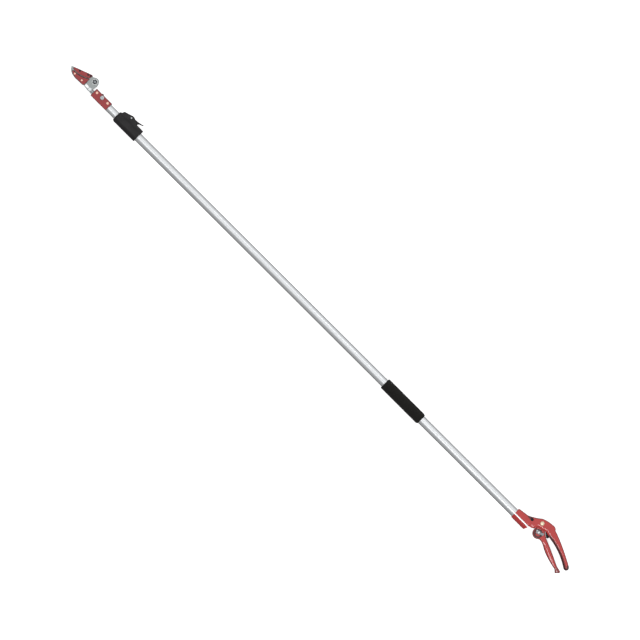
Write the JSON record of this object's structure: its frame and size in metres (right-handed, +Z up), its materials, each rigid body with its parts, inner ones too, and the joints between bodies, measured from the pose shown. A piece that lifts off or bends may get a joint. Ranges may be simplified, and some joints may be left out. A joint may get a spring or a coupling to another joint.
{
  "type": "telescopic pruner pole",
  "caption": "Long-reach pruner: a squeeze handle on a telescopic aluminium pole works a shearing blade with holding plates through a draw rod; a lever collar locks the pole.",
  "frame": {"origin": "bottom centre of the whole tool lying closed on its flat side; the pole axis is 5.4 mm to +Y and 17 mm above it", "axes": "+X along the pole from the handle to the blades, +Z up out of the tool's flat side, +Y to the side where the trigger hangs"},
  "size_m": [1.9405, 0.0904, 0.034],
  "materials": {
    "pole_aluminium": "drawn tube, satin anodised, fine lengthwise lines",
    "foam_rubber": "closed-cell foam sleeve, fine matt pores",
    "red_enamel": "die casting, gloss red enamel",
    "red_enamel_head": "pressed sheet, gloss dark red enamel",
    "zinc_steel": "zinc plated steel, satin",
    "bright_steel": "nickel plated steel, bright",
    "blade_steel": "ground tool steel, fine grinding lines",
    "black_steel": "black oxide steel",
    "ivory_brass": "pale brass pin head, satin",
    "brass_rivets": "copper-tinted brass rivets, satin",
    "black_rubber": "moulded rubber, matt",
    "nylon": "natural nylon, turned",
    "black_nylon": "glass-filled nylon, moulded, satin"
  },
  "bodies": {
    "pole_and_handle": {"outer_tube": "pole_aluminium", "foam_grip": "foam_rubber", "handle_body": "red_enamel", "socket_clamp_shell": "red_enamel", "socket_clamp_screws": "zinc_steel", "neck_screw": "black_steel", "trigger_pivot_pin": "ivory_brass", "handle_bumper": "black_rubber", "rod_guide_bush": "nylon", "return_spring": "zinc_steel", "collar_housing": "black_nylon", "collar_liner": "nylon", "collar_lever_pin": "zinc_steel", "collar_tube_screws": "zinc_steel", "collar_cheek_screws": "zinc_steel", "brake_shoe": "nylon"},
    "trigger": {"trigger_lever": "red_enamel", "catch_screw": "zinc_steel"},
    "catch": {"catch_latch": "bright_steel"},
    "draw_gear": {"link_rod": "zinc_steel", "link_pin": "zinc_steel", "draw_crosshead": "nylon", "draw_tube": "pole_aluminium", "rod_clamp": "zinc_steel"},
    "inner_pole": {"inner_tube": "pole_aluminium", "inner_tube_bush": "nylon", "head_bracket": "red_enamel_head", "bracket_rivets": "brass_rivets", "bracket_screw": "bright_steel", "bracket_back_screw": "black_steel", "head_block": "zinc_steel", "counter_blade": "blade_steel", "lower_holding_plate": "red_enamel_head", "lower_plate_rivets": "brass_rivets", "grip_strip": "black_rubber", "pivot_bolt": "zinc_steel", "pivot_washer": "bright_steel", "pivot_nut": "bright_steel"},
    "draw_rod": {"draw_rod": "zinc_steel", "rod_pin": "bright_steel"},
    "blade": {"cutting_blade": "blade_steel", "upper_holding_plate": "red_enamel_head", "upper_plate_rivets": "black_steel"},
    "collar_lever": {"collar_lever": "black_nylon"}
  },
  "joints": [
    {"name": "trigger_squeeze", "type": "hinge", "parent": "pole_and_handle", "child": "trigger", "pos_m": [-0.83025, -0.0272, 0.017], "axis": [0, 0, 1], "range_deg": [-22, 0]},
    {"name": "catch_turn", "type": "hinge", "parent": "trigger", "child": "catch", "pos_m": [-0.84065, -0.003, 0.017], "axis": [0, 0, 1], "range_deg": [-40, 0]},
    {"name": "draw_gear_slide", "type": "slide", "parent": "pole_and_handle", "child": "draw_gear", "axis": [1, 0, 0], "range_m": [0, 0.0093], "deforming": ["return_spring"]},
    {"name": "pole_extend", "type": "slide", "parent": "pole_and_handle", "child": "inner_pole", "axis": [1, 0, 0], "range_m": [0, 1.07]},
    {"name": "draw_rod_slide", "type": "slide", "parent": "inner_pole", "child": "draw_rod", "axis": [1, 0, 0], "range_m": [0, 0.0093]},
    {"name": "blade_turn", "type": "hinge", "parent": "inner_pole", "child": "blade", "pos_m": [0.89325, -0.0184, 0.017], "axis": [0, 0, 1], "range_deg": [-22, 0]},
    {"name": "collar_lever_flip", "type": "hinge", "parent": "pole_and_handle", "child": "collar_lever", "pos_m": [0.75185, -0.0193, 0.017], "axis": [0, 0, 1], "range_deg": [0, 70]}
  ],
  "couplings": [
    {"joint": "draw_gear_slide", "follows": "trigger_squeeze", "m_per_rad": -0.024097},
    {"joint": "draw_rod_slide", "follows": "trigger_squeeze", "m_per_rad": -0.024097},
    {"joint": "blade_turn", "follows": "trigger_squeeze", "ratio": 1}
  ]
}
